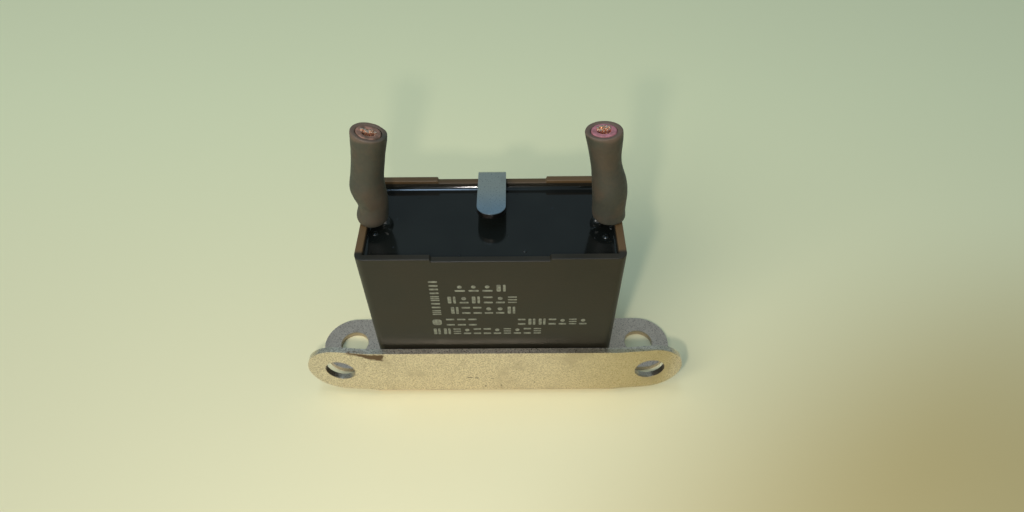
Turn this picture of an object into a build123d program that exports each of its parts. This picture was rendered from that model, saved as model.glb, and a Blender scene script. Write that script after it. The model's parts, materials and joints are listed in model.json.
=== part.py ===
from build123d import *

import os
from math import cos, hypot, radians, tan

# Box film capacitor: a potted plastic case held by a folded steel bracket, with two sleeved leads.
# Millimetres and degrees. X runs along the case, Y from the front flange to the back strap, Z up.
# The origin is on the mounting surface, midway between the front flange and the back strap.

# ---- moulded case ----
case_length = 35.0  # along X, at the rim
case_depth = 16.0  # along Y, at the rim
case_height = 29.3
case_wall = 1.0
case_floor = 1.2
case_draft = 0.6  # the case narrows towards its floor
case_corner = 1.2  # radius of the upright corners
cavity_corner = 0.5
bottom_round = 0.45
rim_round = 0.15
notch_length = 15.3  # shallow notch in each long rim
notch_depth = 0.4

# ---- potting, and the film roll in it ----
resin_drop = 1.43  # from the rim down to the resin's surface
roll_side_gap = 0.9  # between the roll and each long wall
roll_end_gap = 2.1  # between the end spray and the end wall
roll_cover = 4.5  # depth of resin over the roll
roll_corner = 4.5
spray_thickness = 0.6

# ---- folded bracket ----
sheet = 0.9
bend_radius = 0.5  # inside radius of every bend
bracket_gap = 0.25  # from the rim's line to the front flange and to the back strap
ear_radius = 4.9
hole_radius = 2.25
hole_from_case = 6.0  # from the case's end to the hole centres, along X
base_hole_setback = 9.0  # from the front flange's face to the base holes
flange_hole_height = 6.0
web_overhang = 1.0  # how far the front bend runs past each end of the case
ear_sweep = 4.5  # the ears of the front flange are swept back
strap_width = 3.9
tongue_reach = 10.4  # from the strap's back face to the tongue's tip
tongue_rise = 5.5
tongue_seat = 0.05  # between the rim notch and the tongue

# ---- terminals, solder and leads ----
terminal_thickness = 0.4
terminal_width = 1.4
terminal_foot = 9.0  # from the case's floor up to the terminal's lower end
terminal_stand = 3.6  # from the sleeve's lower end up to the terminal's top
spray_joint_size = 3.0
spray_joint_depth = 1.0
wire_fit = 0.045  # between the terminal and the conductor that leans towards it
lead_y = -0.2
lead_rise = 13.5
lead_lean_back = 1.2
lead_lean_in = {"left": 1.4, "right": 1.9}
lead_cut_slope = {"left": 17.0, "right": 3.0}
cut_overrun = 1.5  # length past the cut plane, trimmed off by it
conductor_radius = 0.8
conductor_start = 1.2  # bare lower end, above the sleeve's lower end
insulation_wall = 0.85
sleeve_lift = 0.25  # sleeve's lower end, above the rim
sleeve_foot_fit = 0.065  # round the terminal's corners, inside the sleeve's foot
sleeve_foot_wall = 0.3
sleeve_wall = 0.6  # at the cut end, where the sleeve grips the insulation
sleeve_step = 5.2  # height at which the bore narrows onto the insulation
sleeve_bulge_swell = 0.1  # bulge's radius, over the foot's
sleeve_waist_pinch = 0.1  # waist's radius, under the cut end's
sleeve_bulge_height = 4.4
sleeve_bulge_shift = 0.25  # the bulge leans outwards
sleeve_waist_height = 8.6
wire_joint_start = 1.5
wire_joint_end = 3.4
solder_cover = 0.35  # thickness of solder round the conductor

# ---- heights and half sizes that follow ----
floor_z = sheet + case_floor
rim_z = sheet + case_height
resin_z = rim_z - resin_drop
shrink = tan(radians(case_draft))
floor_length = case_length - 2 * case_wall - 2 * shrink * (rim_z - floor_z)
floor_depth = case_depth - 2 * case_wall - 2 * shrink * (rim_z - floor_z)
roll_height = resin_z - roll_cover - floor_z
roll_depth = floor_depth - 2 * roll_side_gap
roll_half = floor_length / 2 - roll_end_gap - spray_thickness
roll_round = min(roll_corner, 0.45 * roll_depth)
spray_face = roll_half + spray_thickness
flange_face = -(case_depth / 2 + bracket_gap + sheet)
strap_face = -flange_face
hole_x = case_length / 2 + hole_from_case
base_hole_y = flange_face + base_hole_setback
web_half = case_length / 2 + web_overhang
terminal_lean = terminal_stand * max(lead_lean_in.values()) / lead_rise
wire_offset = conductor_radius + terminal_lean + wire_fit  # at the foot, from the terminal's outer face
lead_x = spray_face + terminal_thickness + wire_offset
insulation_radius = conductor_radius + insulation_wall
wire_joint_radius = conductor_radius + solder_cover
sleeve_z = rim_z + sleeve_lift
sleeve_foot_bore = hypot(wire_offset + terminal_thickness, terminal_width / 2) + sleeve_foot_fit
sleeve_foot_radius = sleeve_foot_bore + sleeve_foot_wall
sleeve_bulge_radius = sleeve_foot_radius + sleeve_bulge_swell
sleeve_end_radius = insulation_radius + sleeve_wall
sleeve_waist_radius = sleeve_end_radius - sleeve_waist_pinch
tongue_tip = strap_face - tongue_reach
hole_reach = 2 * sheet
trim = 8.0  # cutting shapes run this far past what they cut


def save(piece, name):
    """Labels a finished piece and writes it as its own STEP file."""
    piece.part.label = name
    export_step(piece.part, f"parts/{name}.step")


def tongue_under(y):
    """Height of the tongue's underside at y: it lies on the back notch and rises forwards."""
    return rim_z - notch_depth + tongue_seat + (case_depth / 2 - y) * tan(radians(tongue_rise))


def tongue_top(y):
    """Height of the tongue's upper face at y."""
    return tongue_under(y) + sheet / cos(radians(tongue_rise))


def lead_plane(side):
    """The plane at a lead's foot, with its normal along the lead."""
    sign = -1 if side == "left" else 1
    foot = Vector(sign * lead_x, lead_y, sleeve_z)
    run = Vector(-sign * lead_lean_in[side], lead_lean_back, lead_rise)
    return Plane(origin=foot, x_dir=(sign, 0, 0), z_dir=run.normalized())


def cut_plane(side):
    """The plane of a lead's cut end, sloping down towards the case's middle."""
    sign = -1 if side == "left" else 1
    foot = lead_plane(side).origin
    end = foot + Vector(-sign * lead_lean_in[side], lead_lean_back, lead_rise)
    slope = tan(radians(lead_cut_slope[side]))
    return Plane(origin=end, z_dir=(-sign * slope, 0, 1))


os.makedirs("parts", exist_ok=True)

# ---- case: an open box with drafted walls, and a notch in each long rim ----
with BuildPart() as case:
    with BuildSketch(Plane.XY.offset(sheet)):
        foot_shrink = 2 * shrink * case_height
        RectangleRounded(case_length - foot_shrink, case_depth - foot_shrink, case_corner)
    extrude(amount=case_height, taper=-case_draft)
    fillet(case.faces().sort_by(Axis.Z)[0].edges(), bottom_round)
    with BuildSketch(Plane.XY.offset(floor_z)):
        RectangleRounded(floor_length, floor_depth, cavity_corner)
    extrude(amount=rim_z - floor_z, taper=-case_draft, mode=Mode.SUBTRACT)
    fillet(case.faces().sort_by(Axis.Z)[-1].edges(), rim_round)
    with BuildSketch(Plane.XY.offset(rim_z - notch_depth)):
        Rectangle(notch_length, case_depth + trim)
    extrude(amount=notch_depth + trim, mode=Mode.SUBTRACT)
save(case, "case")

# ---- film roll: wound flat, with its axis along X, standing on the case's floor ----
with BuildPart() as film_winding:
    with BuildSketch(Plane.YZ.offset(-roll_half)):
        with Locations((0, floor_z + roll_height / 2)):
            RectangleRounded(roll_depth, roll_height, roll_round)
    extrude(amount=2 * roll_half)
save(film_winding, "film_winding")

# ---- inner pieces at each end: sprayed zinc, terminal strip, and the solder between them ----
inner_pieces = [film_winding]
terminals = {}
for side, sign in (("left", -1), ("right", 1)):
    with BuildPart() as end_spray:
        with BuildSketch(Plane.YZ.offset(sign * roll_half)):
            with Locations((0, floor_z + roll_height / 2)):
                RectangleRounded(roll_depth, roll_height, roll_round)
        extrude(amount=sign * spray_thickness)
    save(end_spray, f"end_spray_{side}")

    foot_z = floor_z + terminal_foot
    with BuildPart() as terminal:
        with BuildSketch(Plane.YZ.offset(sign * spray_face)):
            with Locations((lead_y, foot_z)):
                height = sleeve_z + terminal_stand - foot_z
                Rectangle(terminal_width, height, align=(Align.CENTER, Align.MIN))
        extrude(amount=sign * terminal_thickness)
        corners = terminal.edges().filter_by(Axis.X).group_by(Axis.Z)[-1]
        fillet(corners, terminal_width / 3)
    save(terminal, f"terminal_{side}")

    with BuildPart() as spray_joint:
        with BuildSketch(Plane.YZ.offset(sign * spray_face)):
            with Locations((lead_y, foot_z + spray_joint_size / 2)):
                RectangleRounded(spray_joint_size, spray_joint_size, spray_joint_size / 3)
        extrude(amount=sign * spray_joint_depth, taper=15)
        add(terminal.part, mode=Mode.SUBTRACT)
    save(spray_joint, f"spray_joint_{side}")

    terminals[side] = terminal
    inner_pieces += [end_spray, terminal, spray_joint]

# ---- potting resin: fills the cavity round the inner pieces ----
with BuildPart() as potting_resin:
    with BuildSketch(Plane.XY.offset(floor_z)):
        RectangleRounded(floor_length, floor_depth, cavity_corner)
    extrude(amount=resin_z - floor_z, taper=-case_draft)
    for inner in inner_pieces:
        add(inner.part, mode=Mode.SUBTRACT)
save(potting_resin, "potting_resin")

# ---- leads: conductor, insulation, the soldered joint and the shrunk sleeve, all on one axis ----
for side in ("left", "right"):
    plane = lead_plane(side)
    cut = cut_plane(side)
    full = lead_rise + cut_overrun

    with BuildPart() as conductor:
        with BuildSketch(plane.offset(conductor_start)):
            Circle(conductor_radius)
        extrude(amount=full - conductor_start)
        split(bisect_by=cut, keep=Keep.BOTTOM)
    save(conductor, f"conductor_{side}")

    with BuildPart() as insulation:
        with BuildSketch(plane.offset(sleeve_step)):
            Circle(insulation_radius)
            Circle(conductor_radius, mode=Mode.SUBTRACT)
        extrude(amount=full - sleeve_step)
        split(bisect_by=cut, keep=Keep.BOTTOM)
    save(insulation, f"insulation_{side}")

    with BuildPart() as wire_joint:
        with BuildSketch(plane.offset(wire_joint_start)):
            Circle(wire_joint_radius)
        extrude(amount=wire_joint_end - wire_joint_start)
        add(conductor.part, mode=Mode.SUBTRACT)
        add(terminals[side].part, mode=Mode.SUBTRACT)
    save(wire_joint, f"wire_joint_{side}")

    with BuildPart() as sleeve:
        with BuildSketch(plane):
            Circle(sleeve_foot_radius)
        with BuildSketch(plane.offset(sleeve_bulge_height)):
            with Locations((sleeve_bulge_shift, 0)):
                Circle(sleeve_bulge_radius)
        with BuildSketch(plane.offset(sleeve_waist_height)):
            Circle(sleeve_waist_radius)
        with BuildSketch(plane.offset(full)):
            Circle(sleeve_end_radius)
        loft()
        with BuildSketch(plane):
            Circle(sleeve_foot_bore)
        extrude(amount=sleeve_step, mode=Mode.SUBTRACT)
        with BuildSketch(plane.offset(sleeve_step)):
            Circle(insulation_radius)
        extrude(amount=full, mode=Mode.SUBTRACT)
        split(bisect_by=cut, keep=Keep.BOTTOM)
    save(sleeve, f"sleeve_{side}")

# ---- bracket: one sheet, folded into a base flange, a front flange, a back strap and a tongue ----
with BuildPart() as bracket:
    # front flange: a strip whose ears are swept back, trimmed to a round-ended outline
    ear_end = hole_x + 2 * ear_radius
    swept_face = flange_face + (ear_end - web_half) * tan(radians(ear_sweep))
    with BuildSketch(Plane.XY):
        Polygon(
            (-ear_end, swept_face),
            (-web_half, flange_face),
            (web_half, flange_face),
            (ear_end, swept_face),
            (ear_end, swept_face + sheet),
            (web_half, flange_face + sheet),
            (-web_half, flange_face + sheet),
            (-ear_end, swept_face + sheet),
            align=None,
        )
    extrude(amount=flange_hole_height + ear_radius)
    with BuildSketch(Plane.XZ.offset(-flange_face)):
        with Locations((0, flange_hole_height)):
            SlotCenterToCenter(2 * hole_x, 2 * ear_radius)
    extrude(amount=trim, both=True, mode=Mode.INTERSECT)

    # base flange: the same outline laid flat
    with BuildSketch(Plane.XY):
        with Locations((0, base_hole_y)):
            SlotCenterToCenter(2 * hole_x, 2 * ear_radius)
    extrude(amount=sheet)

    # web: the bend that joins the two flanges along the case
    with BuildSketch(Plane.YZ) as web_side:
        Polygon(
            (base_hole_y, 0),
            (flange_face, 0),
            (flange_face, flange_hole_height),
            (flange_face + sheet, flange_hole_height),
            (flange_face + sheet, sheet),
            (base_hole_y, sheet),
            align=None,
        )
        fillet(web_side.vertices().sort_by_distance((flange_face, 0))[0], bend_radius + sheet)
        fillet(web_side.vertices().sort_by_distance((flange_face + sheet, sheet))[0], bend_radius)
    extrude(amount=web_half, both=True)

    # strap and tongue: under the case, up its back, and forwards over the rim notch
    with BuildSketch(Plane.YZ) as strap_side:
        Polygon(
            (base_hole_y, 0),
            (strap_face, 0),
            (strap_face, tongue_top(strap_face)),
            (tongue_tip, tongue_top(tongue_tip)),
            (tongue_tip, tongue_under(tongue_tip)),
            (strap_face - sheet, tongue_under(strap_face - sheet)),
            (strap_face - sheet, sheet),
            (base_hole_y, sheet),
            align=None,
        )
        for corner in ((strap_face, 0), (strap_face, tongue_top(strap_face))):
            fillet(strap_side.vertices().sort_by_distance(corner)[0], bend_radius + sheet)
        for corner in ((strap_face - sheet, sheet), (strap_face - sheet, tongue_under(strap_face))):
            fillet(strap_side.vertices().sort_by_distance(corner)[0], bend_radius)
    extrude(amount=strap_width / 2, both=True)
    tip_corners = bracket.faces().filter_by(Axis.Y).sort_by_distance((0, tongue_tip, rim_z))[0]
    fillet(tip_corners.edges().filter_by(Axis.Z), 0.95 * strap_width / 2)

    # fixing holes through the four ears
    with BuildSketch(Plane.XY):
        with Locations((-hole_x, base_hole_y), (hole_x, base_hole_y)):
            Circle(hole_radius)
    with BuildSketch(Plane.XZ.offset(-flange_face)):
        with Locations((-hole_x, flange_hole_height), (hole_x, flange_hole_height)):
            Circle(hole_radius)
    extrude(amount=hole_reach, both=True, mode=Mode.SUBTRACT)
save(bracket, "bracket")
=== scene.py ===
"""Looks of a box film capacitor.

It is a potted plastic case in a folded steel bracket, with two cut leads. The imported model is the
frame. The pieces that show are modelled here in its place, in metres.
"""

from __future__ import annotations

import json
import logging
import math
import random
from dataclasses import dataclass, field
from enum import Enum
from functools import reduce
from typing import Callable, Iterable

import bmesh
import bpy
from mathutils import Euler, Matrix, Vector

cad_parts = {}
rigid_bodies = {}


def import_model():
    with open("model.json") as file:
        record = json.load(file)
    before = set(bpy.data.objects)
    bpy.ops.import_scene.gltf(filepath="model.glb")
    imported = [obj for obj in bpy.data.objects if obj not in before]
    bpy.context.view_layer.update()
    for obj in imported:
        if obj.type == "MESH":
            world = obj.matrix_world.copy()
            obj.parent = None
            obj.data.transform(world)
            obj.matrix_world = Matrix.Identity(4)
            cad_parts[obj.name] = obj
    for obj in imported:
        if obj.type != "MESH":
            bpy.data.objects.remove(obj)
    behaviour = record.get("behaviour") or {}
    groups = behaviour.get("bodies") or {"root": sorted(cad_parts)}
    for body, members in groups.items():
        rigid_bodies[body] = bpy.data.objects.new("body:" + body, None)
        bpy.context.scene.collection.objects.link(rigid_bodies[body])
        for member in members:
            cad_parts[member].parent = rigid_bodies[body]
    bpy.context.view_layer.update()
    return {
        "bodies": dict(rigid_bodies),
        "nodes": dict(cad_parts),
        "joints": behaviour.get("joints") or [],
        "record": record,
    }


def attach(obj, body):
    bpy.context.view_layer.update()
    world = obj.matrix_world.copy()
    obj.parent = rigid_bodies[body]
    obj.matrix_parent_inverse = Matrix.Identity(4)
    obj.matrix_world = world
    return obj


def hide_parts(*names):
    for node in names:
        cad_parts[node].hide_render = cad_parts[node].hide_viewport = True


LOG = logging.getLogger("box_capacitor")
MM = 0.001
BODY = "root"

Test = Callable[[Vector, Vector], bool]
PointTest = Callable[[bmesh.types.BMVert], bool]
Colour = tuple[float, float, float]
Socket = bpy.types.NodeSocket


class Side(Enum):
    """An end of the case, by the word that its nodes end with."""

    LEFT = "left"
    RIGHT = "right"


# ---------------------------------------------------------------- modelling


def clear_selection() -> None:
    """Deselects every object, so that an operator acts on the new piece alone."""
    bpy.ops.object.select_all(action="DESELECT")


class Workpiece:
    """A mesh on the bench, shaped in edit mode by operators."""

    def __init__(self, thing: bpy.types.Object, name: str) -> None:
        """Takes an object as the workpiece.

        Args:
            thing: The mesh object.
            name: The piece's name.
        """
        self.thing = thing
        self.thing.name = name
        self.thing.data.name = name

    @classmethod
    def fresh(cls, name: str) -> "Workpiece":
        """Takes the primitive that was just added, and settles its place into its mesh."""
        bpy.ops.object.transform_apply(location=True, rotation=True, scale=True)
        return cls(bpy.context.object, name)

    @classmethod
    def from_node(cls, node: str, name: str, flat: float = 1.0) -> "Workpiece":
        """Copies a CAD node's mesh and joins its loose triangles into clean faces.

        Args:
            node: The CAD node.
            name: The new piece's name.
            flat: Faces that meet within this many degrees become one.

        Returns:
            The merged copy.
        """
        copy = FRAME["nodes"][node].copy()
        copy.data = copy.data.copy()
        copy.parent = None
        bpy.context.collection.objects.link(copy)
        piece = cls(copy, name)
        piece.open()
        bpy.ops.mesh.select_all(action="SELECT")
        bpy.ops.mesh.remove_doubles(threshold=0.001 * MM)
        bpy.ops.mesh.customdata_custom_splitnormals_clear()
        bpy.ops.mesh.dissolve_limited(angle_limit=math.radians(flat))
        piece.close()
        return piece

    @classmethod
    def joined(cls, pieces: list["Workpiece"], name: str) -> "Workpiece":
        """Joins several pieces into one.

        Args:
            pieces: The pieces.
            name: The new piece's name.

        Returns:
            The joined piece.
        """
        clear_selection()
        for piece in pieces:
            piece.thing.select_set(True)
        bpy.context.view_layer.objects.active = pieces[0].thing
        bpy.ops.object.join()
        return cls(bpy.context.object, name)

    def take_up(self) -> None:
        """Makes this piece the active one, and the only one selected."""
        clear_selection()
        self.thing.select_set(True)
        bpy.context.view_layer.objects.active = self.thing

    def open(self) -> None:
        """Goes into edit mode on this piece alone."""
        self.take_up()
        bpy.ops.object.mode_set(mode="EDIT")

    def close(self) -> None:
        """Leaves edit mode."""
        bpy.ops.object.mode_set(mode="OBJECT")

    def pick_faces(self, test: Test) -> None:
        """Selects the faces that pass a test of their centre and normal, and no others."""
        bpy.ops.mesh.select_mode(type="FACE")
        mesh = bmesh.from_edit_mesh(self.thing.data)
        for face in mesh.faces:
            face.select_set(test(face.calc_center_median(), face.normal))
        bmesh.update_edit_mesh(self.thing.data)

    def pick_edges(self, test: Test) -> None:
        """Selects the edges that pass a test of their middle and direction, and no others."""
        bpy.ops.mesh.select_mode(type="EDGE")
        mesh = bmesh.from_edit_mesh(self.thing.data)
        for edge in mesh.edges:
            start, end = (corner.co for corner in edge.verts)
            edge.select_set(test((start + end) / 2, (end - start).normalized()))
        bmesh.update_edit_mesh(self.thing.data)

    def pick_points(self, test: PointTest) -> None:
        """Selects the points that pass a test, and no others."""
        bpy.ops.mesh.select_mode(type="VERT")
        mesh = bmesh.from_edit_mesh(self.thing.data)
        for point in mesh.verts:
            point.select_set(test(point))
        mesh.select_flush_mode()
        bmesh.update_edit_mesh(self.thing.data)

    def bevel_picked(self, width: float, segments: int) -> None:
        """Rounds the selected edges."""
        bpy.ops.mesh.bevel(offset=width, segments=segments, affect="EDGES")

    def cut_across(self, x: float) -> None:
        """Cuts a ring of edges through the whole piece at one place along X."""
        bpy.ops.mesh.select_all(action="SELECT")
        bpy.ops.mesh.bisect(plane_co=(x, 0, 0), plane_no=(1, 0, 0))

    def modify(self, kind: str, **settings: object) -> None:
        """Adds a modifier and applies it.

        Args:
            kind: The modifier's type.
            **settings: Its properties.
        """
        self.take_up()
        step = self.thing.modifiers.new(kind.lower(), kind)
        for key, value in settings.items():
            setattr(step, key, value)
        bpy.ops.object.modifier_apply(modifier=step.name)

    def soften(self, width: float, segments: int = 2, angle: float = 35.0) -> None:
        """Rounds every sharp edge.

        Args:
            width: The bevel's width.
            segments: Its segments.
            angle: Edges that turn more than this many degrees are rounded.
        """
        self.modify(
            "BEVEL", width=width, segments=segments, limit_method="ANGLE",
            angle_limit=math.radians(angle), use_clamp_overlap=True,
        )

    def smooth(self, angle: float = 40.0) -> None:
        """Shades the piece smooth, apart from its sharp edges."""
        self.take_up()
        bpy.ops.object.shade_smooth_by_angle(angle=math.radians(angle))

    def weigh_normals(self) -> None:
        """Lets the large faces set the shading, so that flat ones stay even up to their bevels."""
        self.modify("WEIGHTED_NORMAL", mode="FACE_AREA", weight=100, keep_sharp=True)

    def face_outwards(self) -> None:
        """Merges doubled points and turns every face outwards."""
        self.open()
        bpy.ops.mesh.select_all(action="SELECT")
        bpy.ops.mesh.remove_doubles(threshold=0.002 * MM)
        bpy.ops.mesh.normals_make_consistent(inside=False)
        self.close()

    def dress(self, material: bpy.types.Material, slot: str, *nodes: str) -> None:
        """Gives the piece its finish and its place in the frame.

        Args:
            material: The finish.
            slot: The record's material slot. It is not used.
            *nodes: The CAD nodes that the piece stands for.
        """
        self.thing.data.materials.clear()
        self.thing.data.materials.append(material)
        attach(self.thing, BODY)
        if nodes:
            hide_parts(*nodes)
        LOG.info("%s: %d faces", self.thing.name, len(self.thing.data.polygons))


@dataclass(frozen=True)
class Ring:
    """One ring of a tube that is drawn up ring by ring, in millimetres."""

    x: float
    y: float
    z: float
    radius: float
    tilt: float = 0.0  # degrees about Y


def draw_tube(name: str, rings: Iterable[Ring], points: int = 36) -> Workpiece:
    """Draws a closed tube through rings, each extruded from the last one.

    The last ring is welded to the first, so the rings go up the outside and down the bore.

    Args:
        name: The piece's name.
        rings: The rings, in order.
        points: Points in a ring.

    Returns:
        The tube.
    """
    path = list(rings)
    first = path[0]
    clear_selection()
    bpy.ops.mesh.primitive_circle_add(
        vertices=points, radius=first.radius * MM, fill_type="NOTHING",
        location=(first.x * MM, first.y * MM, first.z * MM),
    )
    tube = Workpiece.fresh(name)
    tube.open()
    bpy.ops.mesh.select_all(action="SELECT")
    last = first
    for ring in path[1:] + [first]:
        step = ((ring.x - last.x) * MM, (ring.y - last.y) * MM, (ring.z - last.z) * MM)
        centre = (ring.x * MM, ring.y * MM, ring.z * MM)
        growth = ring.radius / last.radius
        bpy.ops.mesh.extrude_region_move(TRANSFORM_OT_translate={"value": step})
        bpy.ops.transform.resize(value=(growth, growth, growth), center_override=centre)
        tip = ring.tilt - last.tilt
        if tip:  # with no window the operator turns the other way, so the angle is negated
            bpy.ops.transform.rotate(
                value=-math.radians(tip), orient_axis="Y", center_override=centre
            )
        last = ring
    tube.close()
    tube.face_outwards()
    return tube


# ---------------------------------------------------------------- finishes


class Recipe:
    """A material's node tree, put together step by step on Object coordinates."""

    def __init__(self, name: str, roughness: float = 0.5, metallic: float = 0.0) -> None:
        """Starts a material.

        Args:
            name: The material's name.
            roughness: The shader's roughness where nothing is linked.
            metallic: The shader's metallic value.
        """
        self.material = bpy.data.materials.new(name)
        self.material.use_nodes = True
        self.tree = self.material.node_tree
        self.tree.nodes.clear()
        self.shader = self.tree.nodes.new("ShaderNodeBsdfPrincipled")
        output = self.tree.nodes.new("ShaderNodeOutputMaterial")
        self.tree.links.new(self.shader.outputs["BSDF"], output.inputs["Surface"])
        self.shader.inputs["Roughness"].default_value = roughness
        self.shader.inputs["Metallic"].default_value = metallic
        self.place = self.tree.nodes.new("ShaderNodeTexCoord").outputs["Object"]
        parts = self.tree.nodes.new("ShaderNodeSeparateXYZ")
        self.tree.links.new(self.place, parts.inputs[0])
        self.x, self.y, self.z = parts.outputs

    def feed(self, socket: Socket, value: Socket | float | Colour) -> None:
        """Links a socket, or sets its value."""
        if isinstance(value, bpy.types.NodeSocket):
            self.tree.links.new(value, socket)
        elif isinstance(value, tuple):
            socket.default_value = (*value, 1.0) if len(socket.default_value) == 4 else value
        else:
            socket.default_value = value

    def sums(self, kind: str, a: Socket | float, b: Socket | float = 0.0) -> Socket:
        """A Math node.

        Args:
            kind: The operation.
            a: The first value.
            b: The second value.

        Returns:
            The result.
        """
        node = self.tree.nodes.new("ShaderNodeMath")
        node.operation = kind
        self.feed(node.inputs[0], a)
        self.feed(node.inputs[1], b)
        return node.outputs[0]

    def noise(
        self, scale: float, detail: float = 4.0, stretch: Colour = (1.0, 1.0, 1.0)
    ) -> Socket:
        """Noise whose cells are about one over scale metres across.

        Args:
            scale: Cells in a metre.
            detail: Octaves.
            stretch: Scale along each axis, over that.

        Returns:
            The noise, about 0 to 1.
        """
        mapping = self.tree.nodes.new("ShaderNodeMapping")
        mapping.inputs["Scale"].default_value = stretch
        self.tree.links.new(self.place, mapping.inputs["Vector"])
        node = self.tree.nodes.new("ShaderNodeTexNoise")
        node.inputs["Scale"].default_value = scale
        node.inputs["Detail"].default_value = detail
        self.tree.links.new(mapping.outputs["Vector"], node.inputs["Vector"])
        return node.outputs["Fac"]

    def step(
        self, value: Socket, low: float, high: float, start: float = 0.0, end: float = 1.0
    ) -> Socket:
        """A smooth step from start to end as a value goes from low to high."""
        node = self.tree.nodes.new("ShaderNodeMapRange")
        node.interpolation_type = "SMOOTHSTEP"
        ends = {"From Min": low, "From Max": high, "To Min": start, "To Max": end}
        for key, number in ends.items():
            node.inputs[key].default_value = number
        self.tree.links.new(value, node.inputs["Value"])
        return node.outputs["Result"]

    def fall(self, value: Socket, low: float, high: float, start: float = 1.0) -> Socket:
        """A smooth step down to zero as a value goes from low to high."""
        return self.step(value, low, high, start, 0.0)

    def near(self, value: Socket, target: float, reach: float, soft: float) -> Socket:
        """One where a value is within reach of a target, falling to zero over soft."""
        away = self.sums("ABSOLUTE", self.sums("SUBTRACT", value, target))
        return self.fall(away, reach, reach + soft)

    def both(self, *masks: Socket) -> Socket:
        """The product of masks."""
        return reduce(lambda a, b: self.sums("MULTIPLY", a, b), masks)

    def either(self, *masks: Socket) -> Socket:
        """The highest of masks."""
        return reduce(lambda a, b: self.sums("MAXIMUM", a, b), masks)

    def blend(
        self, mask: Socket, under: Socket | Colour, over: Socket | Colour, share: float = 1.0
    ) -> Socket:
        """Mixes two colours.

        Args:
            mask: Where the second one shows.
            under: The first colour.
            over: The second colour.
            share: How much of the second one shows at most.

        Returns:
            The mixed colour.
        """
        if share < 1.0:
            mask = self.sums("MULTIPLY", mask, share)
        node = self.tree.nodes.new("ShaderNodeMix")
        node.data_type = "RGBA"
        self.tree.links.new(mask, node.inputs[0])
        self.feed(node.inputs[6], under)
        self.feed(node.inputs[7], over)
        return node.outputs[2]

    def relief(self, *layers: tuple[Socket, float]) -> None:
        """Stacks bumps, each a height and its depth in metres."""
        normal = None
        for height, depth in layers:
            node = self.tree.nodes.new("ShaderNodeBump")
            node.inputs["Distance"].default_value = depth
            self.tree.links.new(height, node.inputs["Height"])
            if normal is not None:
                self.tree.links.new(normal, node.inputs["Normal"])
            normal = node.outputs["Normal"]
        self.tree.links.new(normal, self.shader.inputs["Normal"])

    def done(self, colour: Socket, roughness: Socket | None = None) -> bpy.types.Material:
        """Links the colour and the roughness, and returns the material."""
        self.tree.links.new(colour, self.shader.inputs["Base Color"])
        if roughness is not None:
            self.tree.links.new(roughness, self.shader.inputs["Roughness"])
        return self.material


@dataclass(frozen=True)
class MouldedPlastic:
    """The case's plastic: semi-matt brown-black, paler low down, with a painted highlight at its
    foot.
    """

    dark: Colour = (0.014, 0.012, 0.007)
    light: Colour = (0.021, 0.017, 0.010)
    # painted highlight: the pale pinkish colour of the band along the foot
    foot_highlight: Colour = (0.20, 0.165, 0.145)
    rubbed: Colour = (0.130, 0.076, 0.031)
    # the case is painted paler towards its foot
    paler_low: Colour = (0.044, 0.040, 0.024)
    paler_low_share: float = 0.9
    rubbed_share: float = 0.8
    gloss: float = 0.36
    foot_z: float = 0.9 * MM
    foot_highlight_height: float = 1.1 * MM
    paler_low_z: tuple[float, float] = (2.0 * MM, 14.0 * MM)  # full below, none above
    rim_z: tuple[float, float] = (29.6 * MM, 29.9 * MM)
    rim_y: tuple[float, float] = (-6.9 * MM, -6.2 * MM)  # the front rim isn't rubbed

    def build(self) -> bpy.types.Material:
        """Makes the material."""
        recipe = Recipe("moulded_plastic")
        recipe.shader.inputs["Specular IOR Level"].default_value = self.gloss
        cloud = recipe.noise(140.0, 3.0)
        grain = recipe.noise(4200.0, 2.0)
        colour = recipe.blend(recipe.step(cloud, 0.35, 0.7), self.dark, self.light)
        low = recipe.fall(recipe.z, *self.paler_low_z, self.paler_low_share)
        colour = recipe.blend(low, colour, self.paler_low)
        # painted highlight along the foot, broken up into specks
        foot = recipe.fall(recipe.z, self.foot_z, self.foot_z + self.foot_highlight_height)
        speck = recipe.step(recipe.noise(900.0, 5.0, (0.35, 1.0, 1.0)), 0.3, 0.6)
        colour = recipe.blend(recipe.both(foot, speck), colour, self.foot_highlight)
        rim = recipe.both(
            recipe.step(recipe.z, *self.rim_z), recipe.step(recipe.y, *self.rim_y)
        )
        colour = recipe.blend(rim, colour, self.rubbed, self.rubbed_share)
        recipe.relief((grain, 0.010 * MM), (recipe.noise(320.0, 2.0), 0.012 * MM))
        return recipe.done(colour, recipe.step(cloud, 0.3, 0.75, 0.40, 0.52))


@dataclass(frozen=True)
class PouredResin:
    """The potting resin: glossy and near black, with a faintly uneven skin."""

    deep: Colour = (0.0045, 0.0055, 0.0050)
    hazy: Colour = (0.0065, 0.0080, 0.0070)

    def build(self) -> bpy.types.Material:
        """Makes the material."""
        recipe = Recipe("poured_resin")
        swirl = recipe.noise(120.0, 2.0)
        colour = recipe.blend(recipe.step(swirl, 0.4, 0.7), self.deep, self.hazy)
        pits = recipe.step(recipe.noise(1500.0, 1.0), 0.72, 0.78)
        recipe.relief((swirl, 0.012 * MM), (pits, 0.02 * MM))
        return recipe.done(colour, recipe.step(swirl, 0.35, 0.8, 0.09, 0.14))


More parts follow.
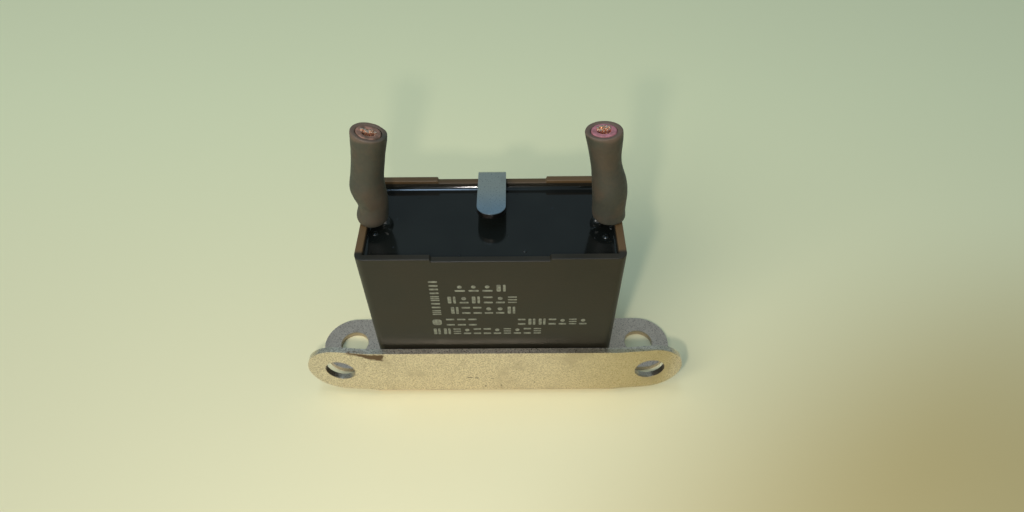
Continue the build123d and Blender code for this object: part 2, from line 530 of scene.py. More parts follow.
@dataclass(frozen=True)
class PlatedSheet:
    """The bracket's plated steel: dull and fine grained, with dull holes in painted shade, scratches
    and a smear.
    """

    bright: Colour = (0.79, 0.70, 0.55)
    dull: Colour = (0.49, 0.42, 0.335)
    # the hole walls' colour: dull sheared metal, darkened further as painted shade
    dull_and_shaded: Colour = (0.36, 0.30, 0.23)
    scratch: Colour = (0.06, 0.05, 0.04)
    rust: Colour = (0.150, 0.092, 0.052)
    # painted reflection: the tongue's colours, blue-grey at its root and blue at its tip
    tongue_root_reflection: Colour = (0.50, 0.53, 0.49)
    tongue_tip_reflection: Colour = (0.27, 0.41, 0.53)
    # painted reflection: near black for the tongue's edges, which reflect the dark resin and case
    tongue_edge_reflection: Colour = (0.045, 0.040, 0.036)
    base_tint: Colour = (0.70, 0.51, 0.42)
    right_tint: Colour = (0.47, 0.375, 0.175)
    tongue_reflection_share: float = 0.86
    tarnish_share: float = 0.35
    dull_and_shaded_share: float = 0.60
    scratch_share: float = 0.80
    smear_share: float = 0.95
    hole_x: float = 23.5 * MM
    hole_radius: float = 2.25 * MM
    flange_hole_z: float = 6.0 * MM
    base_hole_y: float = -0.15 * MM
    face_y: tuple[float, float] = (-8.6 * MM, -8.4 * MM)  # the flange's face is before these
    flange_y: tuple[float, float] = (-7.0 * MM, -6.5 * MM)  # and all of the flange in front of these
    base_z: float = 0.95 * MM  # the base lies below this
    smear_x: tuple[float, float] = (-21.6 * MM, -16.6 * MM)
    smear_z: tuple[float, float] = (11.15 * MM, 10.30 * MM)  # height of its middle at each end
    smear_half: tuple[float, float] = (0.24 * MM, 0.78 * MM)  # half its width at each end
    right_x: tuple[float, float] = (4.0 * MM, 24.0 * MM)
    tongue_half: float = 2.1 * MM
    tongue_z: tuple[float, float] = (30.2 * MM, 30.6 * MM)
    tongue_y: tuple[float, float] = (-1.2 * MM, 5.5 * MM)  # from tip to root
    tongue_top_z: float = 31.525 * MM  # at Y 0
    tongue_slope: float = 0.0963
    # X, height, half width and half height of each scratch, in millimetres
    marks: tuple[tuple[float, float, float, float], ...] = (
        (-3.85, 4.45, 0.36, 0.07), (-2.80, 4.35, 0.26, 0.08), (-0.45, 4.15, 0.18, 0.05),
        (-1.50, 2.05, 0.04, 0.26), (0.90, 2.20, 0.04, 0.24), (6.10, 3.10, 0.05, 0.12),
    )

    def hole_walls(self, recipe: Recipe) -> Socket:
        """A mask of the four holes' walls."""
        across = recipe.sums("SUBTRACT", recipe.sums("ABSOLUTE", recipe.x), self.hole_x)
        masks = []
        for other, centre in ((recipe.z, self.flange_hole_z), (recipe.y, self.base_hole_y)):
            along = recipe.sums("SUBTRACT", other, centre)
            squares = [recipe.sums("MULTIPLY", part, part) for part in (across, along)]
            distance = recipe.sums("SQRT", recipe.sums("ADD", *squares))
            masks.append(recipe.near(distance, self.hole_radius, 0.01 * MM, 0.07 * MM))
        flange = recipe.fall(recipe.y, *self.flange_y)
        base = recipe.fall(recipe.z, self.base_z, self.base_z + 0.1 * MM)
        return recipe.either(recipe.both(masks[0], flange), recipe.both(masks[1], base))

    def smear(self, recipe: Recipe) -> Socket:
        """A mask of the brown smear by the flange's upper left edge, widening towards the case."""
        start, end = self.smear_x
        wander = recipe.sums("MULTIPLY", recipe.noise(1300.0, 4.0), 0.9 * MM)
        height = recipe.sums("ADD", recipe.z, wander)
        line = recipe.step(recipe.x, start, end, *self.smear_z)
        away = recipe.sums("ABSOLUTE", recipe.sums("SUBTRACT", height, line))
        width = recipe.step(recipe.x, start, end, *self.smear_half)
        inside = recipe.fall(recipe.sums("SUBTRACT", away, width), -0.30 * MM, 0.20 * MM)
        jags = recipe.sums("MULTIPLY", recipe.noise(1300.0, 3.0), 1.3 * MM)
        ragged = recipe.sums("ADD", recipe.x, jags)
        middle = (start + end) / 2 + 0.6 * MM  # the jags shift it by about this
        reach = recipe.near(ragged, middle, (end - start) / 2, 0.30 * MM)
        return recipe.both(inside, reach, recipe.fall(recipe.y, *self.face_y))

    def scratches(self, recipe: Recipe) -> Socket:
        """A mask of the short dark scratches low on the flange's face."""
        masks = [
            recipe.both(
                recipe.near(recipe.x, x * MM, wide * MM, 0.05 * MM),
                recipe.near(recipe.z, z * MM, high * MM, 0.05 * MM),
            )
            for x, z, wide, high in self.marks
        ]
        return recipe.both(recipe.either(*masks), recipe.fall(recipe.y, *self.face_y))

    def tint(self, recipe: Recipe, colour: Socket) -> Socket:
        """Shifts the plating's colour from place to place, with painted reflections on the tongue.

        Args:
            recipe: The material.
            colour: Its colour so far.

        Returns:
            The colour, with a redder base, a warmer right end and painted reflections on the tongue.
        """
        base = recipe.fall(recipe.z, self.base_z, self.base_z + 0.25 * MM, 0.5)
        colour = recipe.blend(base, colour, self.base_tint)
        right = recipe.step(recipe.x, *self.right_x, 0.0, 0.55)
        face = recipe.fall(recipe.y, *self.face_y)
        colour = recipe.blend(recipe.both(face, right), colour, self.right_tint)
        side = recipe.sums("ABSOLUTE", recipe.x)
        tongue = recipe.both(
            recipe.fall(side, self.tongue_half, self.tongue_half + 0.1 * MM),
            recipe.step(recipe.z, *self.tongue_z),
        )
        # painted reflection: the tongue turns blue towards its tip
        tip = recipe.fall(recipe.y, *self.tongue_y)
        blue_reflection = recipe.blend(tip, self.tongue_root_reflection, self.tongue_tip_reflection)
        colour = recipe.blend(tongue, colour, blue_reflection, self.tongue_reflection_share)
        # painted reflection: the tongue's edges and underside are darkened
        drop = recipe.sums("MULTIPLY", recipe.y, self.tongue_slope)
        top = recipe.sums("SUBTRACT", self.tongue_top_z, drop)
        edge = recipe.fall(recipe.sums("SUBTRACT", recipe.z, top), -0.16 * MM, -0.07 * MM)
        inner = recipe.fall(recipe.y, 6.0 * MM, 6.5 * MM)
        return recipe.blend(recipe.both(tongue, edge, inner), colour, self.tongue_edge_reflection)

    def build(self) -> bpy.types.Material:
        """Makes the material."""
        recipe = Recipe("plated_sheet", metallic=0.95)
        grain = recipe.noise(5000.0, 3.0)
        cloud = recipe.noise(260.0, 3.0)
        colour = recipe.blend(recipe.step(grain, 0.34, 0.64), self.dull, self.bright)
        colour = self.tint(recipe, colour)
        tarnish = recipe.both(recipe.step(cloud, 0.52, 0.75), recipe.step(grain, 0.35, 0.6))
        colour = recipe.blend(tarnish, colour, self.rust, self.tarnish_share)
        # the hole walls: dull sheared metal, with painted shade over it
        colour = recipe.blend(self.hole_walls(recipe), colour, self.dull_and_shaded, self.dull_and_shaded_share)
        colour = recipe.blend(self.scratches(recipe), colour, self.scratch, self.scratch_share)
        smear = self.smear(recipe)
        colour = recipe.blend(smear, colour, self.rust, self.smear_share)
        recipe.relief((grain, 0.012 * MM), (cloud, 0.02 * MM))
        matt = recipe.sums("MULTIPLY", smear, 0.3)
        rough = recipe.sums("ADD", recipe.step(grain, 0.3, 0.7, 0.27, 0.38), matt)
        return recipe.done(colour, rough)


@dataclass(frozen=True)
class Coating:
    """A plain finish of two colours broken up by noise, with a fine relief."""

    name: str
    base: Colour
    accent: Colour
    scale: float
    rough_low: float
    rough_high: float
    depth: float
    metallic: float = 0.0
    stretch: Colour = (1.0, 1.0, 1.0)

    def build(self) -> bpy.types.Material:
        """Makes the material."""
        recipe = Recipe(self.name, metallic=self.metallic)
        mottle = recipe.noise(self.scale, 4.0, self.stretch)
        fine = recipe.noise(self.scale * 4.0, 2.0, self.stretch)
        colour = recipe.blend(recipe.step(mottle, 0.32, 0.70), self.base, self.accent)
        recipe.relief((mottle, self.depth), (fine, self.depth * 0.4))
        return recipe.done(colour, recipe.step(fine, 0.3, 0.7, self.rough_low, self.rough_high))


PRINT_INK = Coating(
    "print_ink", (0.24, 0.245, 0.19), (0.13, 0.13, 0.10), 1900.0, 0.6, 0.8, 0.004 * MM
)
PINK_PVC = Coating(
    "pink_pvc", (0.42, 0.165, 0.195), (0.26, 0.10, 0.11), 1500.0, 0.5, 0.7, 0.06 * MM
)
BROWN_PVC = Coating(
    "brown_pvc", (0.10, 0.060, 0.038), (0.30, 0.155, 0.11), 1100.0, 0.5, 0.7, 0.06 * MM
)
COPPER = Coating(
    "copper_strand", (0.96, 0.76, 0.62), (0.82, 0.50, 0.34), 2600.0, 0.22, 0.42, 0.02 * MM, 1.0
)
TINNED = Coating(
    "tinned_strip", (0.62, 0.62, 0.60), (0.48, 0.48, 0.46), 1200.0, 0.25, 0.42, 0.01 * MM, 0.95
)
SOLDER = Coating(
    "soft_solder", (0.58, 0.58, 0.57), (0.42, 0.42, 0.41), 900.0, 0.3, 0.5, 0.03 * MM, 0.95
)
SPRAYED_ZINC = Coating(
    "sprayed_zinc", (0.42, 0.42, 0.43), (0.30, 0.30, 0.31), 2600.0, 0.6, 0.85, 0.06 * MM, 0.8
)
WOUND_FILM = Coating(
    "wound_film", (0.66, 0.66, 0.65), (0.52, 0.52, 0.52), 500.0, 0.18, 0.34, 0.02 * MM, 0.6,
    (0.05, 1.0, 1.0),
)


@dataclass(frozen=True)
class ShrunkSleeve:
    """The shrunk sleeve: matt olive black, browned here and there and at its cut."""

    base: Colour = (0.046, 0.044, 0.030)
    brown: Colour = (0.066, 0.049, 0.031)
    cut: Colour = (0.135, 0.088, 0.060)
    cut_share: float = 0.8
    cut_z: tuple[float, float] = (43.70 * MM, 44.30 * MM)
    ragged: float = 0.9 * MM  # how far the browned edge wanders

    def build(self) -> bpy.types.Material:
        """Makes the material."""
        recipe = Recipe("shrunk_sleeve")
        mottle = recipe.noise(300.0, 4.0)
        fine = recipe.noise(1700.0, 3.0)
        colour = recipe.blend(recipe.step(mottle, 0.42, 0.66), self.base, self.brown)
        height = recipe.sums("ADD", recipe.z, recipe.sums("MULTIPLY", mottle, self.ragged))
        edge = recipe.step(height, *self.cut_z, 0.0, self.cut_share)
        colour = recipe.blend(edge, colour, self.cut)
        recipe.relief((mottle, 0.10 * MM), (fine, 0.02 * MM))
        return recipe.done(colour, recipe.step(fine, 0.3, 0.7, 0.50, 0.66))


@dataclass(frozen=True)
class TableTop:
    """The pale table, a little paler behind the part, with a tan patch to its right in front."""

    near: Colour = (0.84, 0.76, 0.47)
    far: Colour = (0.88, 0.86, 0.53)
    tan: Colour = (0.58, 0.45, 0.20)
    roughness: float = 0.55
    paler_y: tuple[float, float] = (-30 * MM, 80 * MM)
    tan_from: tuple[float, float] = (22 * MM, 88 * MM)  # along X minus Y
    tan_to: tuple[float, float] = (130 * MM, 260 * MM)
    tan_y: tuple[float, float] = (-25 * MM, 35 * MM)

    def build(self) -> bpy.types.Material:
        """Makes the material."""
        recipe = Recipe("table_top", self.roughness)
        colour = recipe.blend(recipe.step(recipe.y, *self.paler_y), self.near, self.far)
        slant = recipe.sums("SUBTRACT", recipe.x, recipe.y)
        patch = recipe.both(
            recipe.step(slant, *self.tan_from), recipe.fall(recipe.y, *self.tan_y),
            recipe.fall(slant, *self.tan_to),
        )
        colour = recipe.blend(patch, colour, self.tan)
        recipe.relief((recipe.noise(700.0, 2.0), 0.01 * MM))
        return recipe.done(colour)


# ---------------------------------------------------------------- sub-assemblies


@dataclass
class Case:
    """The moulded case: a drafted box open at the top, with a shallow notch in each long rim."""

    length: float = 35.0 * MM
    depth: float = 16.0 * MM
    foot_z: float = 0.9 * MM
    rim_z: float = 30.2 * MM
    floor_z: float = 2.1 * MM
    wall: float = 1.0 * MM
    draft: float = math.tan(math.radians(0.6))
    corner: float = 1.2 * MM
    foot_round: float = 0.45 * MM
    notch_half: float = 7.65 * MM
    notch_depth: float = 0.4 * MM
    notch_ramp: float = 0.12 * MM
    rim_round: float = 0.13 * MM

    def front_y(self, z: float) -> float:
        """Where the drafted front face stands at a height."""
        return -(self.depth / 2 - self.draft * (self.rim_z - z))

    def taper(self, drop: float, length: float, depth: float, z: float) -> None:
        """Narrows the selected faces, which lie a drop below the rim, by the draft."""
        shrink = 2 * self.draft * drop
        bpy.ops.transform.resize(
            value=(1 - shrink / length, 1 - shrink / depth, 1), center_override=(0, 0, z)
        )

    def build(self) -> Workpiece:
        """Models the case from a block."""
        height = self.rim_z - self.foot_z
        clear_selection()
        bpy.ops.mesh.primitive_cube_add(
            size=1, location=(0, 0, self.foot_z + height / 2),
            scale=(self.length, self.depth, height),
        )
        case = Workpiece.fresh("case_shell")
        case.open()
        case.pick_faces(lambda centre, normal: normal.z < -0.9)
        self.taper(height, self.length, self.depth, self.foot_z)
        case.pick_edges(lambda middle, along: abs(along.z) > 0.9)
        case.bevel_picked(self.corner, 8)
        case.pick_edges(lambda middle, along: middle.z < self.foot_z + 0.01 * MM)
        case.bevel_picked(self.foot_round, 4)
        case.pick_faces(lambda centre, normal: normal.z > 0.9)
        bpy.ops.mesh.inset(thickness=self.wall)
        drop = self.rim_z - self.floor_z
        bpy.ops.mesh.extrude_region_move(TRANSFORM_OT_translate={"value": (0, 0, -drop)})
        walls = 2 * self.wall
        self.taper(drop, self.length - walls, self.depth - walls, self.floor_z)
        for x in (self.notch_half, self.notch_half + self.notch_ramp):
            case.cut_across(x)
            case.cut_across(-x)
        case.pick_faces(
            lambda centre, normal: normal.z > 0.9 and centre.z > self.rim_z - self.wall
            and abs(centre.x) < self.notch_half
        )
        bpy.ops.transform.translate(value=(0, 0, -self.notch_depth))
        case.close()
        case.soften(self.rim_round, 3, 40.0)
        case.smooth(30.0)
        case.weigh_normals()
        return case


@dataclass
class ResinFill:
    """The potting: it climbs the walls and the terminals, and has a few small drips."""

    surface_z: float = 28.77 * MM
    # in millimetres: each ring's height over the surface, and its width
    climb: tuple[float, ...] = (0.34, 0.17, 0.06)
    ring: tuple[float, ...] = (0.13, 0.20, 0.30)
    # X, Y, radius and height of each drip
    drips: tuple[tuple[float, float, float, float], ...] = (
        (-15.65, -1.96, 0.50, 0.30), (15.31, -2.79, 0.52, 0.30), (16.20, -1.12, 0.34, 0.20),
        (4.46, -5.24, 0.30, 0.16), (-4.1, -5.9, 0.22, 0.12),
    )
    collar: tuple[float, float] = (0.98, 1.35)  # radius and height round each terminal
    terminal_x: float = 14.30
    terminal_y: float = -0.15

    def build(self) -> Workpiece:
        """Models the resin from its solid, and welds the drips on."""
        resin = Workpiece.from_node("potting_resin", "resin_fill")
        resin.open()

        def on_top(centre: Vector, normal: Vector) -> bool:
            """Whether a face is part of the flat surface."""
            return normal.z > 0.99 and abs(centre.z - self.surface_z) < 0.02 * MM

        resin.pick_faces(on_top)
        for width in self.ring:
            bpy.ops.mesh.inset(thickness=width * MM, use_boundary=True)
        resin.close()
        self.raise_rings(resin)
        collars = tuple((side * self.terminal_x, self.terminal_y, *self.collar) for side in (-1, 1))
        for x, y, radius, height in self.drips + collars:
            clear_selection()
            bpy.ops.mesh.primitive_uv_sphere_add(
                segments=24, ring_count=14, radius=radius * MM,
                location=(x * MM, y * MM, self.surface_z), scale=(1, 1, height / radius),
            )
            drip = Workpiece.fresh("drip")
            resin.modify("BOOLEAN", operation="UNION", object=drip.thing, solver="EXACT")
            bpy.data.objects.remove(drip.thing)
        resin.smooth(50.0)
        resin.weigh_normals()
        return resin

    def raise_rings(self, resin: Workpiece) -> None:
        """Lifts each inset ring, the outermost one most.

        Args:
            resin: The piece, whose flat surface has been inset ring by ring.
        """
        resin.open()
        bpy.ops.mesh.select_mode(type="VERT")
        mesh = bmesh.from_edit_mesh(resin.thing.data)
        flat = [v for v in mesh.verts if abs(v.co.z - self.surface_z) < 0.02 * MM]
        edge = {v for v in flat if any(abs(f.normal.z) < 0.9 for f in v.link_faces)}
        rings, seen = [edge], set(edge)
        for _ in self.ring[1:]:
            following = {
                e.other_vert(v) for v in rings[-1] for e in v.link_edges
                if e.other_vert(v) in flat and e.other_vert(v) not in seen
            }
            seen |= following
            rings.append(following)
        for lift, ring in zip(self.climb, rings):
            resin.pick_points(ring.__contains__)
            bpy.ops.transform.translate(value=(0, 0, lift * MM))
        resin.close()


@dataclass
class Bracket:
    """The folded bracket, with sheared edges that are slightly rounded."""

    edge_round: float = 0.09 * MM

    def build(self) -> Workpiece:
        """Models the bracket from its solid."""
        bracket = Workpiece.from_node("bracket", "bracket_sheet", 0.4)
        bracket.soften(self.edge_round, 3, 40.0)
        bracket.smooth(35.0)
        bracket.weigh_normals()
        return bracket


@dataclass
class Lead:
    """A cut lead: a lumpy shrunk sleeve over the insulation, and a bundle of strands."""

    side: Side
    outside: tuple[tuple[float, float, float], ...]  # height, X of the centre, radius
    cut_tilt: float
    insulation: Coating
    foot_y: float = -0.2
    lean_back: float = 1.2
    foot_z: float = 30.45
    rise: float = 13.5
    sleeve_wall: float = 0.26
    insulation_radius: float = 1.64
    conductor_radius: float = 0.80
    grip_z: float = 35.65
    bore_z: float = 40.0
    coat_z: tuple[float, float] = (38.2, 41.0)  # stations between the grip and the cut
    tilt_from: float = 0.6  # share of the rise over which the rings stay level
    strand_radius: float = 0.155
    strand_reach: float = 2.0
    strand_rings: tuple[tuple[int, float], ...] = ((6, 0.325), (12, 0.625))  # round the first one
    strand_jitter: tuple[float, float] = (-0.10, 0.16)  # how unevenly the strands were cut
    pinch: tuple[float, float] = (1.0, 1.0)  # how far the cutter spread the bundle along X and Y
    stand_proud: float = 0.04
    set_back: float = 0.0
    # height that each nip starts from, and its scale along Y
    nips: tuple[tuple[float, float], ...] = ((41.2, 0.95), (42.4, 0.93), (43.3, 0.93))
    seed: int = 7

    def y_at(self, z: float) -> float:
        """The lead leans back as it rises."""
        return self.foot_y + self.lean_back * (z - self.foot_z) / self.rise

    def x_at(self, z: float) -> float:
        """The centre's X at a height, between the stations that are given."""
        for (low, x0, _), (high, x1, _) in zip(self.outside, self.outside[1:]):
            if z <= high:
                return x0 + (x1 - x0) * (z - low) / (high - low)
        return self.outside[-1][1]

    def tilt_at(self, z: float) -> float:
        """Rings tip towards the cut over the lead's upper part."""
        start = self.foot_z + self.tilt_from * self.rise
        share = min(max((z - start) / (self.foot_z + self.rise - start), 0.0), 1.0)
        return self.cut_tilt * share

    def ring(self, z: float, radius: float) -> Ring:
        """A ring round the lead's centre line."""
        return Ring(self.x_at(z), self.y_at(z), z, radius, self.tilt_at(z))

    def nip(self, piece: Workpiece) -> None:
        """Flattens the lead's cut end from behind, as the cutter left it."""
        top = self.outside[-1][0]
        front = (self.y_at(top) - self.outside[-1][2]) * MM
        piece.open()
        for height, scale in self.nips:
            piece.pick_points(lambda point: point.co.z > height * MM)
            bpy.ops.transform.resize(value=(1, scale, 1), center_override=(0, front, 0))
        piece.close()

    def roughen(self, piece: Workpiece, pattern: str, scale: float, strength: float) -> None:
        """Rounds a drawn tube and roughens its skin.

        Args:
            piece: The tube.
            pattern: A name for the roughness.
            scale: The size of its lumps.
            strength: Their height.
        """
        self.nip(piece)
        piece.modify("SUBSURF", levels=2, render_levels=2)
        lumps = bpy.data.textures.new(pattern, "CLOUDS")
        lumps.noise_scale = scale
        piece.modify("DISPLACE", texture=lumps, strength=strength, mid_level=0.5)
        piece.smooth(60.0)

    def sleeve(self) -> Workpiece:
        """Draws the sleeve up its outside and down its bore."""
        up = [Ring(x, self.y_at(z), z, radius, self.tilt_at(z)) for z, x, radius in self.outside]
        top, _, cut_radius = self.outside[-1]
        bore = self.insulation_radius
        lip = [self.ring(top + 0.03, cut_radius - 0.14), self.ring(top, bore - 0.05)]
        down = [self.ring(z, bore) for z in (top - 0.25, self.bore_z, self.grip_z)]
        foot = [
            Ring(x, self.y_at(z), z, radius - self.sleeve_wall)
            for z, x, radius in self.outside if z < self.grip_z
        ]
        tube = draw_tube(f"sleeve_tube_{self.side.value}", up + lip + down + foot[::-1])
        self.roughen(tube, "sleeve_lumps", 1.6 * MM, 0.09 * MM)
        return tube

    def wire_coat(self) -> Workpiece:
        """Draws the insulation, which shows as a ring in the cut."""
        top = self.outside[-1][0]
        heights = (self.grip_z, *self.coat_z, top - 0.03)
        up = [self.ring(z, self.insulation_radius) for z in heights]
        lip = [
            self.ring(top + 0.07, self.insulation_radius - 0.12),
            self.ring(top + 0.03, self.conductor_radius + 0.10),
        ]
        down = [self.ring(z, self.conductor_radius) for z in heights[::-1]]
        coat = draw_tube(f"wire_coat_{self.side.value}", up + lip + down)
        self.roughen(coat, "coat_grit", 0.5 * MM, 0.06 * MM)
        return coat

    def strands(self) -> Workpiece:
        """Stands the cut strands on the conductor, in rings of one, six and twelve."""
        dice = random.Random(self.seed)
        top = self.outside[-1][0]
        start = top - self.strand_reach
        lean = Vector((
            self.x_at(top) - self.x_at(start), self.y_at(top) - self.y_at(start), self.strand_reach
        ))
        spots = [(0.0, 0.0)]
        for count, radius in self.strand_rings:
            spots += [
                (radius * math.cos(math.tau * k / count), radius * math.sin(math.tau * k / count))
                for k in range(count)
            ]
        slope = math.tan(math.radians(self.cut_tilt))
        pieces = [self.core()]
        for across, along in spots:
            dx, dy = across * self.pinch[0], along * self.pinch[1] + self.set_back
            rise = self.stand_proud + dice.uniform(*self.strand_jitter) - slope * dx
            length = self.strand_reach + rise
            middle = Vector((self.x_at(start) + dx, self.y_at(start) + dy, start)) + lean * 0.5
            middle.z = start + length / 2
            clear_selection()
            bpy.ops.mesh.primitive_cylinder_add(
                vertices=12, radius=self.strand_radius * MM, depth=length * MM,
                location=middle * MM,
                rotation=(-math.atan2(lean.y, lean.z), math.atan2(lean.x, lean.z), 0),
            )
            strand = Workpiece.fresh("strand")
            strand.soften(0.03 * MM, 2, 50.0)
            pieces.append(strand)
        bundle = Workpiece.joined(pieces, f"wire_strands_{self.side.value}")
        self.nip(bundle)
        bundle.smooth(40.0)
        return bundle

    def core(self) -> Workpiece:
        """Draws the conductor under the strands' ends, down to its soldered foot."""
        top = self.outside[-1][0]
        heights = (self.foot_z + 1.25, self.grip_z, self.coat_z[0], top - 0.5)
        rings = [self.ring(z, self.conductor_radius - 0.03) for z in heights]
        centre = [self.ring(z, 0.02) for z in heights[::-1]]
        return draw_tube("core", rings + centre, 24)

    def build(self) -> None:
        """Models the lead's three pieces and gives them their finishes."""
        end = self.side.value
        self.sleeve().dress(ShrunkSleeve().build(), "sleeve", f"sleeve_{end}")
        self.wire_coat().dress(self.insulation.build(), "insulation", f"insulation_{end}")
        self.strands().dress(COPPER.build(), "copper", f"conductor_{end}")


@dataclass
class PrintPanel:
    """Generic print on the case's front: rows of plain bars, blocks and dots in pale ink."""

    case: Case
    thickness: float = 0.025 * MM
    stroke: float = 0.34 * MM
    seed: int = 11
    # row: left and right end along X, lower and upper height, number of marks
    rows: tuple[tuple[float, float, float, float, int], ...] = (
        (-4.95, 2.45, 23.75, 25.15, 4),
        (-6.10, 3.80, 21.20, 22.70, 6),
        (-5.80, 3.60, 18.85, 20.40, 6),
        (-6.60, -1.90, 16.10, 17.70, 3),
        (3.50, 13.60, 16.20, 17.60, 7),
        (-8.60, 7.20, 14.00, 15.40, 11),
    )
    column: tuple[float, float, float, float, int] = (-8.35, -7.15, 18.6, 26.4, 5)
    badge: tuple[float, float, float] = (-7.9, 16.9, 1.3)  # X, height and size of a plain block
    fill: float = 0.74  # share of each cell that its mark fills
    made: list[Workpiece] = field(default_factory=list)

    def plate(self, x: float, z: float, width: float, height: float) -> None:
        """Lays one flat bar on the drafted face.

        Args:
            x: Its middle along X.
            z: Its middle height.
            width: Its width.
            height: Its height.
        """
        clear_selection()
        bpy.ops.mesh.primitive_cube_add(
            size=1, location=(x, self.case.front_y(z) - self.thickness * 0.3, z),
            scale=(width, self.thickness, height), rotation=(math.atan(self.case.draft), 0, 0),
        )
        plate = Workpiece.fresh("bar")
        plate.open()
        plate.pick_edges(lambda middle, along: abs(along.y) > 0.9)
        plate.bevel_picked(0.3 * min(width, height), 3)
        plate.close()
        self.made.append(plate)

    def disc(self, x: float, z: float, radius: float) -> None:
        """Lays one round dot on the face."""
        clear_selection()
        bpy.ops.mesh.primitive_cylinder_add(
            vertices=24, radius=radius, depth=self.thickness,
            location=(x, self.case.front_y(z) - self.thickness * 0.3, z),
            rotation=(math.pi / 2 + math.atan(self.case.draft), 0, 0),
        )
        self.made.append(Workpiece.fresh("dot"))

    def mark(self, kind: int, left: float, right: float, low: float, high: float) -> None:
        """Lays one mark in a cell.

        Args:
            kind: 0 two level bars, 1 a block and a bar, 2 three level bars, 3 a dot over a bar.
            left: The cell's left end.
            right: Its right end.
            low: Its lower height.
            high: Its upper height.
        """
        middle, width, height = (left + right) / 2, right - left, high - low
        if kind == 0:
            self.plate(middle, high - self.stroke / 2, width, self.stroke)
            self.plate(middle, low + self.stroke / 2, width, self.stroke)
        elif kind == 1:
            self.plate(left + 0.25 * width, (low + high) / 2, 0.40 * width, height)
            self.plate(left + 0.80 * width, (low + high) / 2, self.stroke, height)
        elif kind == 2:
            for z in (low + self.stroke / 2, (low + high) / 2, high - self.stroke / 2):
                self.plate(middle, z, width, 0.7 * self.stroke)
        else:
            self.disc(middle, high - 0.3 * height, 0.22 * height)
            self.plate(middle, low + self.stroke / 2, width, self.stroke)

    def build(self) -> Workpiece:
        """Lays every row and the column, and joins them."""
        dice = random.Random(self.seed)
        for left, right, low, high, count in self.rows:
            pitch = (right - left) / count
            for k in range(count):
                start = left + k * pitch
                cell = (start * MM, (start + self.fill * pitch) * MM, low * MM, high * MM)
                self.mark(dice.choice((0, 1, 2, 3)), *cell)
        left, right, low, high, count = self.column
        pitch = (high - low) / count
        for k in range(count):
            start = low + k * pitch
            cell = (left * MM, right * MM, start * MM, (start + self.fill * pitch) * MM)
            self.mark(dice.choice((0, 2)), *cell)
        x, z, size = (number * MM for number in self.badge)
        self.plate(x, z, size, size)
        return Workpiece.joined(self.made, "front_print")


class InnerParts:
    """The pieces sealed in the resin or the sleeves, which keep their CAD shape."""

    FINISHES: dict[str, Coating] = {
        "film_winding": WOUND_FILM,
        "end_spray": SPRAYED_ZINC,
        "terminal": TINNED,
        "spray_joint": SOLDER,
        "wire_joint": SOLDER,
    }

    def build(self) -> None:
        """Gives each CAD node that stays its own finish."""
        for stem, finish in self.FINISHES.items():
            material = finish.build()
            for name, node in FRAME["nodes"].items():
                if name.startswith(stem):
                    node.data.materials.clear()
                    node.data.materials.append(material)
                    LOG.info("%s: CAD mesh, %s", name, finish.name)


# ---------------------------------------------------------------- stage


@dataclass(frozen=True)
class Lamp:
    """A rectangular soft light that is aimed at the part."""

    name: str
    place: Colour
    size: tuple[float, float]
    power: float
    colour: Colour
    target: Colour = (0.0, 0.0, 15.0 * MM)

    def build(self) -> None:
        """Hangs the light."""
        lamp = bpy.data.lights.new(self.name, "AREA")
        lamp.shape = "RECTANGLE"
        lamp.size, lamp.size_y = self.size
        lamp.energy = self.power
        lamp.color = self.colour
        holder = bpy.data.objects.new(self.name, lamp)
        holder.location = self.place
        holder.visible_camera = False
        aim = Vector(self.target) - Vector(self.place)
        holder.rotation_euler = aim.to_track_quat("-Z", "Y").to_euler()
        bpy.context.collection.objects.link(holder)


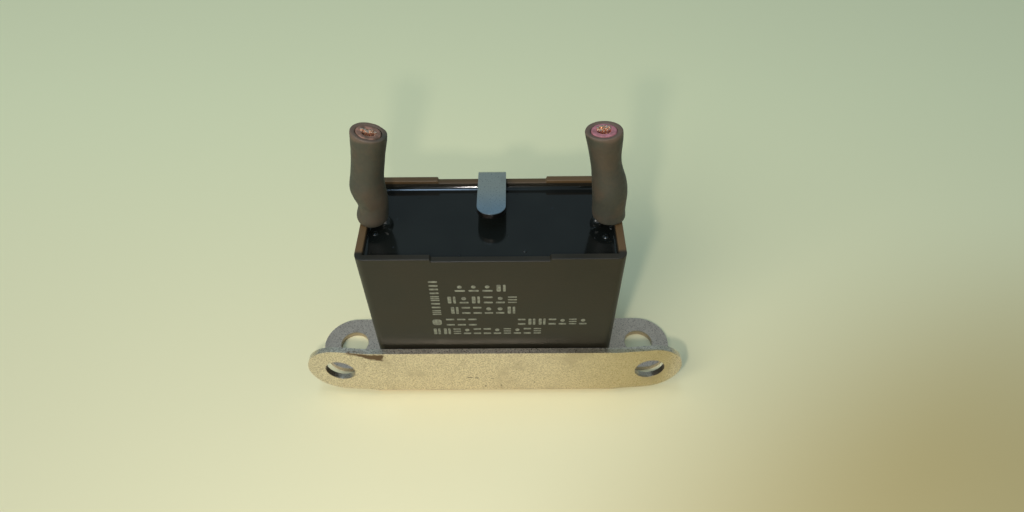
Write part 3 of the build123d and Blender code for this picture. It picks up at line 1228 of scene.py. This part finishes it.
@dataclass(frozen=True)
class Studio:
    """A pale table, soft light and the camera."""

    eye: Colour = (3.04 * MM, -66.49 * MM, 95.11 * MM)
    turn: Colour = (42.309, 0.377, -0.144)  # degrees
    focal: float = 24.208
    sensor: float = 36.0
    clip_start: float = 5.0 * MM
    table_half: float = 0.6
    table_z: float = -0.02 * MM
    sky: Colour = (0.72, 0.93, 1.0)
    sky_power: float = 0.31
    lamps: tuple[Lamp, ...] = (
        Lamp("lens_side", (-0.008, -0.072, 0.086), (0.005, 0.005), 0.037, (1.0, 0.94, 0.88)),
        Lamp("window", (-0.27, -0.30, 0.36), (0.30, 0.30), 1.20, (1.0, 0.97, 0.91)),
        Lamp("ceiling", (-0.07, 0.0, 0.62), (0.30, 0.08), 0.75, (0.50, 0.72, 1.0)),
    )

    def build(self) -> None:
        """Lays the table, hangs the lights and sets the camera."""
        clear_selection()
        bpy.ops.mesh.primitive_plane_add(size=2 * self.table_half, location=(0, 0, self.table_z))
        table = Workpiece.fresh("table")
        table.thing.data.materials.append(TableTop().build())
        world = bpy.data.worlds.new("studio")
        world.use_nodes = True
        ground = world.node_tree.nodes["Background"]
        ground.inputs["Color"].default_value = (*self.sky, 1.0)
        ground.inputs["Strength"].default_value = self.sky_power
        bpy.context.scene.world = world
        bpy.context.scene.view_settings.view_transform = "Standard"
        for lamp in self.lamps:
            lamp.build()
        lens = bpy.data.cameras.new("camera")
        lens.lens = self.focal
        lens.sensor_width = self.sensor
        lens.clip_start = self.clip_start
        camera = bpy.data.objects.new("camera", lens)
        camera.location = self.eye
        camera.rotation_euler = Euler([math.radians(angle) for angle in self.turn], "XYZ")
        bpy.context.collection.objects.link(camera)
        bpy.context.scene.camera = camera


# height, X of the centre and radius of each sleeve's outside, in millimetres
LEFT_OUTSIDE = (
    (30.15, -15.88, 2.05), (31.10, -15.90, 2.20), (32.55, -15.42, 1.93), (33.70, -15.60, 2.12),
    (35.60, -16.02, 2.36), (37.30, -15.66, 2.10), (40.90, -14.95, 2.13), (42.50, -14.70, 2.26),
    (43.80, -14.48, 2.30),
)
RIGHT_OUTSIDE = (
    (30.45, 15.80, 2.26), (31.40, 15.62, 2.20), (32.90, 15.60, 2.25), (34.60, 15.55, 2.34),
    (36.40, 15.30, 2.25), (38.20, 14.82, 1.99), (40.00, 14.45, 1.97), (42.20, 14.26, 2.28),
    (43.85, 13.96, 2.36),
)

FRAME: dict = {}


def main() -> None:
    """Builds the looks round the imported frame, in order."""
    logging.basicConfig(level=logging.INFO, format="%(name)s %(message)s")
    FRAME.update(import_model())
    Studio().build()
    case = Case()
    case.build().dress(MouldedPlastic().build(), "moulded_case", "case")
    PrintPanel(case).build().dress(PRINT_INK.build(), "moulded_case")
    ResinFill().build().dress(PouredResin().build(), "epoxy", "potting_resin")
    Bracket().build().dress(PlatedSheet().build(), "zinc_steel", "bracket")
    Lead(
        Side.LEFT, LEFT_OUTSIDE, cut_tilt=15.0, insulation=BROWN_PVC, pinch=(1.40, 0.62),
        stand_proud=0.14, set_back=0.15, seed=7,
    ).build()
    Lead(
        Side.RIGHT, RIGHT_OUTSIDE, cut_tilt=-3.0, insulation=PINK_PVC, pinch=(1.22, 0.85),
        stand_proud=0.18, set_back=0.34, seed=8,
    ).build()
    InnerParts().build()


if __name__ == "__main__":
    main()
